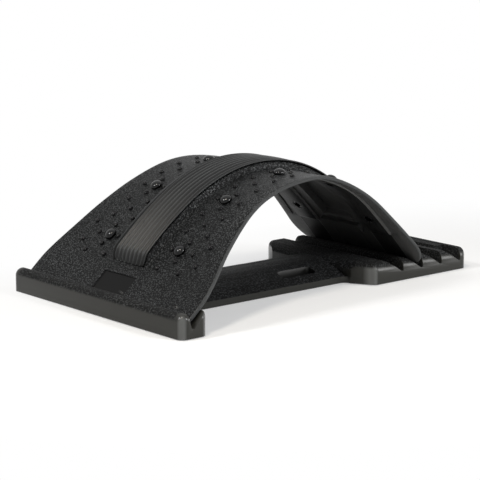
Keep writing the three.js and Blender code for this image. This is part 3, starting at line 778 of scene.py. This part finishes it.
# where the panel gets a section: at each turn of its shape, and in even steps between
def panelPlaces(sizes=panelSizes):
    places = {0.0, archLength}
    for i in range(1, sizes["cornerSteps"] + 1):
        share = 1 - math.cos(math.radians(90 * i / sizes["cornerSteps"]))
        places |= {sizes["frontCorner"] * share, archLength - sizes["rearCorner"] * share}
    for inset in (sizes["pocketEnd"], sizes["channelEnd"]):
        for i in range(sizes["pocketSteps"] + 1):
            run = inset + sizes["pocketRamp"] * i / sizes["pocketSteps"]
            places |= {run, archLength - run}
    for i in range(sizes["bandSteps"] + 1):
        run = sizes["bandEnd"] + sizes["bandRamp"] * i / sizes["bandSteps"]
        places |= {run, archLength - run}
    for edge, wall in ((sizes["labelFrom"], sizes["labelWall"]), (sizes["labelTo"], -sizes["labelWall"])):
        places |= {edge, edge + wall}
    needed = sorted(places)
    count = int(archLength / sizes["step"])
    for i in range(1, count):
        place = archLength * i / count
        if min(abs(place - other) for other in needed) > sizes["stepClear"]:
            places.add(place)
    ordered = sorted(places)
    kept = [ordered[0]]
    for place in ordered[1:]:
        if place - kept[-1] > sizes["stepLeast"]:
            kept.append(place)
    return kept


# what is taken out of the panel or added to it, besides the drawn section
panelDetails = {
    "smoothAngle": 40.0,
    "holeRadius": 4.7 * mm,
    "holeOffset": 49.7 * mm,
    "holePitch": 65.16 * mm,
    "holeDepth": 14 * mm,
    "holeMiddle": -3 * mm,  # height of the drill's middle over the wing
    "holeSegments": 32,
    "holesPerSide": 5,
    "ribLength": 11 * mm,
    "ribHalfWidth": 26 * mm,
    "ribDepth": 6 * mm,
    "ribTop": 1.6 * mm,
    "ribFromEnd": 44.5 * mm,
    "pinRadius": 0.8 * mm,
    "pinDepth": 1.2 * mm,
    "pinSegments": 12,
    "pinPlace": 10.6 * mm,
    "pins": (57.4 * mm, -18.3 * mm, -93.2 * mm),
    "labelBelow": 1.5 * mm,  # how far down and how far out the label's colour reaches
    "labelPast": 0.1 * mm,
    "toneFrom": 0.8,  # of the skin's thickness
    "railEdge": 0.3 * mm,
    # painted underside light and shade: the cross rib and rail edges brightest, the rails and holes darkest
    "tones": {"middle": 0.27, "rail": 0.1, "rim": 0.5, "rib": 1.0, "hole": 0.1},
}


# painted light and shade on the underside: the rails get the darkest painted shade, and their edges the
# brightest painted highlight
def underShadingAt(place, details, sizes=panelSizes):
    tones, across = details["tones"], abs(place.y)
    channel = sizes["bandHalfWidth"] - sizes["skin"] + sizes["channelDraft"]
    limit = bandHeight(place.x) if across < channel else 0
    if place.z > limit - sizes["skin"] * details["toneFrom"]:
        return 0.0
    if min(abs(across - sizes["railInner"]), abs(across - sizes["railOuter"])) < details["railEdge"]:
        return tones["rib"]
    if sizes["railInner"] <= across <= sizes["railOuter"]:
        return tones["rail"]
    return tones["rim"] if across > sizes["railOuter"] else tones["middle"]


def paint(bm, name, value):
    layer = bm.verts.layers.float.new(name)
    for vert in bm.verts:
        vert[layer] = value


# the cuts leave new points without a tone, so they take their neighbours'
def spreadTone(mesh):
    tones = mesh.attributes["underShading"].data
    found = {}
    for edge in mesh.edges:
        for at, other in (edge.vertices, reversed(edge.vertices)):
            if tones[at].value == 0.0:
                found[at] = max(found.get(at, 0.0), tones[other].value)
    for at, value in found.items():
        tones[at].value = value


def addDrill(bm, radius, depth, segments, matrix):
    bmesh.ops.create_cone(
        bm, cap_ends=True, segments=segments, radius1=radius, radius2=radius, depth=depth, matrix=matrix
    )


def cutWith(piece, cutter, operation):
    other = addObject("cutter", meshFrom("cutter", cutter))
    modifier = piece.modifiers.new("cut", "BOOLEAN")
    modifier.object = other
    modifier.operation = operation
    modifier.solver = "EXACT"
    bpy.context.view_layer.update()
    done = bpy.data.meshes.new_from_object(piece.evaluated_get(bpy.context.evaluated_depsgraph_get()))
    piece.modifiers.clear()
    piece.data = done
    bpy.data.objects.remove(other)


def makePanel(details, sizes=panelSizes):
    bm = bmesh.new()
    extrudeThrough(bm, panelPlaces(), lambda place: mirrored(panelHalfRing(place)))
    labelMask = bm.verts.layers.float.new("labelMask")
    rimHighlightMask = bm.verts.layers.float.new("rimHighlightMask")
    underShading = bm.verts.layers.float.new("underShading")
    for vert in bm.verts:
        onTop = vert.co.z > -details["labelBelow"]
        onBand = abs(vert.co.y) < sizes["bandHalfWidth"] + details["labelPast"]
        vert[labelMask] = 1.0 if onTop and onBand and labelSink(vert.co.x) else 0.0
        inward = halfWidthAt(vert.co.x) - abs(vert.co.y)
        vert[rimHighlightMask] = 1.0 if inward < sizes["rim"] * sizes["rimHighlighted"] else 0.0
        vert[underShading] = underShadingAt(vert.co, details)
    bendOntoArch(bm)
    piece = finishPiece("panel_shell", bm, panelPlastic, "panel", details["smoothAngle"])

    cutter = bmesh.new()
    for i in range(details["holesPerSide"]):
        distance = archMiddle + (i - (details["holesPerSide"] - 1) / 2) * details["holePitch"]
        for side in (-1, 1):
            matrix = archMatrix(distance, side * details["holeOffset"], details["holeMiddle"])
            addDrill(cutter, details["holeRadius"], details["holeDepth"], details["holeSegments"], matrix)
    # the holes' walls get a dark painted shade
    paint(cutter, "underShading", details["tones"]["hole"])
    for across in details["pins"]:
        matrix = archMatrix(details["pinPlace"], across)
        addDrill(cutter, details["pinRadius"], 2 * details["pinDepth"], details["pinSegments"], matrix)
    cutWith(piece, cutter, "DIFFERENCE")

    rib = bmesh.new()
    height = details["ribDepth"] - details["ribTop"]
    middle = archMatrix(archLength - details["ribFromEnd"], 0, -details["ribTop"] - height / 2)
    shape = Matrix.Diagonal((details["ribLength"], 2 * details["ribHalfWidth"], height, 1))
    bmesh.ops.create_cube(rib, size=1.0, matrix=middle @ shape)
    # the cross rib gets the brightest painted highlight
    paint(rib, "underShading", details["tones"]["rib"])
    cutWith(piece, rib, "UNION")
    spreadTone(piece.data)
    piece.data.set_sharp_from_angle(angle=math.radians(details["smoothAngle"]))
    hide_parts("arch_panel")
    return piece


panelShell = makePanel(panelDetails)
print("panel made", len(panelShell.data.polygons))


# small domes moulded on both wings, in staggered rows
noduleSizes = {
    "rowPitch": 10.86 * mm,
    "from": 39 * mm,
    "pitch": 14.24 * mm,
    "margin": 17 * mm,
    "reach": 90 * mm,
    "rows": 14,  # on either side of the arch's middle
    "radius": 2.35 * mm,
    "height": 2.2 * mm,
    "sink": 0.6 * mm,
    "domeSteps": 4,
    "domeTurn": 22,  # degrees in each step down from the top
    "turnSteps": 10,
    "smoothAngle": 60.0,
}


def nodulePlaces(sizes):
    for row in range(-sizes["rows"], sizes["rows"] + 1):
        distance = archMiddle + row * sizes["rowPitch"]
        across = sizes["from"] + (row % 2) * sizes["pitch"]
        while across <= min(halfWidthAt(distance) - sizes["margin"], sizes["reach"]):
            for side in (-1, 1):
                yield distance, across * side
            across += 2 * sizes["pitch"]


# turns a profile of (radius, height) round the upright axis, then moves it to its place
def spinProfile(bm, profile, steps, matrix):
    verts = [bm.verts.new((r, 0, z)) for r, z in profile]
    edges = [bm.edges.new(pair) for pair in zip(verts, verts[1:])]
    bmesh.ops.spin(
        bm, geom=verts + edges, cent=(0, 0, 0), axis=(0, 0, 1), angle=2 * math.pi, steps=steps, use_merge=True
    )
    bmesh.ops.transform(bm, matrix=matrix, verts=[v for v in bm.verts if not v.tag])
    for vert in bm.verts:
        vert.tag = True  # already in its place


def makeNodules(sizes):
    bm = bmesh.new()
    profile = [(0, sizes["height"])]
    for i in range(1, sizes["domeSteps"] + 1):
        angle = math.radians(90 - sizes["domeTurn"] * i)
        profile.append((sizes["radius"] * math.cos(angle), sizes["height"] * math.sin(angle)))
    profile += [(sizes["radius"], -sizes["sink"]), (0, -sizes["sink"])]
    for distance, across in nodulePlaces(sizes):
        matrix = archMatrix(distance, across, wingHeight(across, distance))
        spinProfile(bm, profile, sizes["turnSteps"], matrix)
    return finishPiece("panel_nodules", bm, dullGloss, "panel", sizes["smoothAngle"])


nodules = makeNodules(noduleSizes)
print("nodules made", len(nodules.data.polygons))


# glossy domed studs, one piece for each CAD stud
studSizes = {
    "rowsPerStud": 6,
    "perSide": 5,
    "offset": 49.7 * mm,
    "radius": 5.8 * mm,
    "height": 4.6 * mm,
    "flange": 0.3 * mm,
    "lip": 0.2 * mm,
    "shankRadius": 4.4 * mm,
    "shankLength": 4.4 * mm,
    "boreRadius": 3.3 * mm,
    "boreRise": 1.6 * mm,
    "domeFrom": 6,  # degrees, where the dome starts over its lip
    "domeSteps": 12,
    "turnSteps": 40,
    "smoothAngle": 50.0,
}


def makeStud(name, matrix, sizes):
    bm = bmesh.new()
    bore, shank, radius = sizes["boreRadius"], sizes["shankRadius"], sizes["radius"]
    bottom, flange, steps = -sizes["shankLength"], sizes["flange"], sizes["domeSteps"]
    profile = [(0, sizes["boreRise"]), (bore, sizes["boreRise"]), (bore, bottom)]
    profile += [(shank, bottom), (shank, flange), (radius - sizes["lip"], flange)]
    for i in range(steps + 1):
        angle = math.radians(sizes["domeFrom"] + (90 - sizes["domeFrom"]) * i / steps)
        rise = flange + (sizes["height"] - flange) * math.sin(angle)
        profile.append((radius * math.cos(angle) if i < steps else 0, rise))
    spinProfile(bm, profile, sizes["turnSteps"], matrix)
    return finishPiece(name, bm, gloss, "panel", sizes["smoothAngle"])


for sideName, side in (("left", 1), ("right", -1)):
    for i in range(studSizes["perSide"]):
        row = (i - (studSizes["perSide"] - 1) / 2) * studSizes["rowsPerStud"]
        node = "stud_%s_%d" % (sideName, i + 1)
        distance = archMiddle + row * noduleSizes["rowPitch"]
        matrix = archMatrix(distance, side * studSizes["offset"])
        stud = makeStud("dome_%s_%d" % (sideName, i + 1), matrix, studSizes)
        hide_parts(node)
        dress(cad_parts["magnet_%s_%d" % (sideName, i + 1)], magnetMetal)
print("studs made")


# ribbed foam strip: eight round lengthwise ribs on a sheet that follows the band, blunt at its ends
stripSizes = {
    "halfWidth": 23.6 * mm,
    "height": 2.36 * mm,
    "gap": 0.45 * mm,
    "inset": 39.7 * mm,
    "ribs": 8,
    "ribSteps": 10,
    "groove": 1.75 * mm,
    "grooveAtEnd": 0.35,  # of the groove's depth, at the strip's two ends
    "nose": 4.6 * mm,
    "noseDraw": 3 * mm,
    "noseShare": 0.42,
    "noseSteps": 6,
    "side": 2 * mm,
    "sideShare": 0.46,  # of the height, from the side's middle up and down
    "sideSteps": 7,
    "sideTurn": 75,  # degrees up and down from level
    "bottomSteps": 4,
    "crown": 0.7 * mm,
    "step": 2 * mm,
    "smoothAngle": 60.0,
}


def stripRing(place, sizes=stripSizes):
    fromEnd = min(place, archLength - place) - sizes["inset"]
    rise = math.sqrt(1 - clamped(1 - fromEnd / sizes["nose"]) ** 2)
    half = sizes["halfWidth"] - (1 - rise) * sizes["noseDraw"]
    height = sizes["height"] * (sizes["noseShare"] + (1 - sizes["noseShare"]) * rise)
    low, inner = bandHeight(place) + sizes["gap"], half - sizes["side"]
    groove = sizes["groove"] * (sizes["grooveAtEnd"] + (1 - sizes["grooveAtEnd"]) * rise)

    bottomSteps, sideSteps, turn = sizes["bottomSteps"], sizes["sideSteps"], sizes["sideTurn"]
    bottom = [(y * inner / bottomSteps, low) for y in range(-bottomSteps, bottomSteps + 1)]
    side = []
    for i in range(1, sideSteps):
        angle = math.radians(2 * turn * i / sideSteps - turn)
        up = sizes["sideShare"] * (1 + math.sin(angle))
        side.append((inner + sizes["side"] * math.cos(angle), low + height * up))
    top = []
    count = sizes["ribs"] * sizes["ribSteps"]
    for i in range(count + 1):
        across = inner * (1 - 2 * i / count)
        sunk = 0.5 + 0.5 * math.cos(2 * math.pi * i / sizes["ribSteps"])
        crown = sizes["crown"] * (1 - math.cos(across / inner * math.pi / 2))
        top.append((across, low + height - crown - groove * sunk))
    return bottom + side + top + [(-y, z) for y, z in reversed(side)]


def makeStrip(sizes):
    bm = bmesh.new()
    places = []
    for i in range(sizes["noseSteps"] + 1):
        run = sizes["nose"] * (1 - math.cos(math.radians(90 * i / sizes["noseSteps"])))
        places += [sizes["inset"] + run, archLength - sizes["inset"] - run]
    low, high = sizes["inset"] + sizes["nose"], archLength - sizes["inset"] - sizes["nose"]
    count = int((high - low) / sizes["step"])
    places += [low + (high - low) * i / count for i in range(1, count)]
    extrudeThrough(bm, sorted(places), stripRing)
    depths = bm.verts.layers.float.new("ribDepth")
    for vert in bm.verts:
        top = bandHeight(vert.co.x) + sizes["gap"] + sizes["height"]
        vert[depths] = clamped((top - vert.co.z) / sizes["groove"])
    bendOntoArch(bm)
    piece = finishPiece("ribbed_strip", bm, foam, "panel", sizes["smoothAngle"])
    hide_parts("comfort_strip")
    return piece


strip = makeStrip(stripSizes)
print("strip made", len(strip.data.polygons))


# base: the CAD shape with its flats joined and its edges rounded
baseLook = {
    "edge": 0.7 * mm,
    "segments": 3,
    "flat": 1.0,  # degrees between faces that are joined
    "corner": 28.0,  # degrees from which an edge is rounded
    "smoothAngle": 32.0,
}


def makeBase(look):
    bm = bmesh.new()
    bm.from_mesh(baseNode.data)
    bmesh.ops.remove_doubles(bm, verts=bm.verts, dist=weldGap)
    bmesh.ops.dissolve_limit(bm, angle_limit=math.radians(look["flat"]), verts=bm.verts, edges=bm.edges)
    # the rounded faces are marked here, and the material paints a highlight on them
    softEdge = bm.faces.layers.float.new("softEdge")
    sharp = [e for e in bm.edges if e.is_manifold and e.calc_face_angle() > math.radians(look["corner"])]
    rounded = bmesh.ops.bevel(
        bm, geom=sharp, offset=look["edge"], offset_type="OFFSET", segments=look["segments"], profile=0.5,
        affect="EDGES", clamp_overlap=True, material=-1,
    )
    for face in rounded["faces"]:
        face[softEdge] = 1.0
    piece = finishPiece("moulded_base", bm, basePlastic, "base", look["smoothAngle"], False)
    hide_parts("base_frame")
    return piece


base = makeBase(baseLook)
print("base made", len(base.data.polygons))

for name in ("front_left", "front_right", "rear_left", "rear_right"):
    dress(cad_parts["foot_" + name], rubber)


# 1 where the camera or a reflection looks, 0 where light is gathered
def seenDirectly(nodes):
    seen = nodes.add("ShaderNodeLightPath", output="Is Camera Ray")
    for ray in ("Is Glossy Ray", "Is Transmission Ray"):
        seen = seen.math("MAXIMUM", nodes.add("ShaderNodeLightPath", output=ray))
    return seen


# pale floor that fades out into a white backdrop
floorLook = {
    "size": 1.5,
    "segments": 64,
    "fade": (0.3, 0.52),  # metres from the middle
    "color": (0.93, 0.93, 0.93),
    "paleness": (0.32, 1.0),  # from the near side to the far side
    "nearPale": (-0.03, 0.22),
    "white": (1, 1, 1),
}


def makeStage(look):
    bm = bmesh.new()
    bmesh.ops.create_circle(bm, cap_ends=True, segments=look["segments"], radius=look["size"])
    floor = addObject("floor", meshFrom("floor", bm))
    finish = Finish("floor_white")
    away = finish.add("ShaderNodeVectorMath", {"operation": "LENGTH"}, {0: finish.place}, output="Value")
    pale = finish.range(finish.part(finish.place, 1), look["nearPale"], look["paleness"])
    finish.set({
        "Base Color": look["color"],
        "Roughness": 1.0,
        "Specular IOR Level": 0.0,
        "Alpha": finish.range(away, look["fade"], (1.0, 0.0)),
    })
    glow = finish.add("ShaderNodeEmission", values={"Color": look["white"], "Strength": 1.0})
    lit = Value(finish, finish.shader.outputs[0])
    blend = finish.add("ShaderNodeMixShader", values={0: seenDirectly(finish) * pale, 1: lit, 2: glow})
    finish.link(blend, finish.tree.nodes["Material Output"].inputs[0])
    floor.data.materials.append(finish.material)


# the world lights softly, and is white where the camera or a reflection sees it
worldLook = {"color": (1, 1, 1), "strength": 0.14, "seenStrength": 1.0}


def makeWorld(look):
    world = bpy.data.worlds.new("studio")
    bpy.context.scene.world = world
    world.use_nodes = True
    nodes = Nodes(world.node_tree)
    strengths = {0: seenDirectly(nodes), 2: look["strength"], 3: look["seenStrength"]}
    background = nodes.tree.nodes["Background"]
    nodes.link(look["color"], background.inputs["Color"])
    nodes.link(nodes.add("ShaderNodeMix", values=strengths), background.inputs["Strength"])


# each lamp's place, the height it looks at over the middle, its power, size and colour
lamps = {
    "overhead": ((0.1, 0.2, 1.7), 0.0, 2.3, 1.6, (1, 1, 1)),
    "leftLamp": ((-1.1, 0.2, 0.95), 0.05, 8.6, 0.24, (1, 1, 1)),
    "rightLamp": ((0.3, -1.3, 0.75), 0.05, 11.2, 0.28, (0.97, 0.985, 1.0)),
    "warmLamp": ((-0.75, -0.35, 1.25), 0.05, 8.0, 0.2, (1.0, 0.93, 0.82)),
    "sideLamp": ((0.95, -1.05, 0.3), 0.02, 8.5, 0.5, (1, 1, 1)),
}


def addLamp(name, place, height, power, size, color):
    data = bpy.data.lights.new(name, "AREA")
    data.shape = "SQUARE"
    data.size = size
    data.energy = power
    data.color = color
    aim(addObject(name, data), place, Vector((0, 0, height)) - Vector(place))


makeStage(floorLook)
makeWorld(worldLook)
for name, setup in lamps.items():
    addLamp(name, *setup)
bpy.context.scene.view_settings.view_transform = "Standard"
print("stage and lights made")
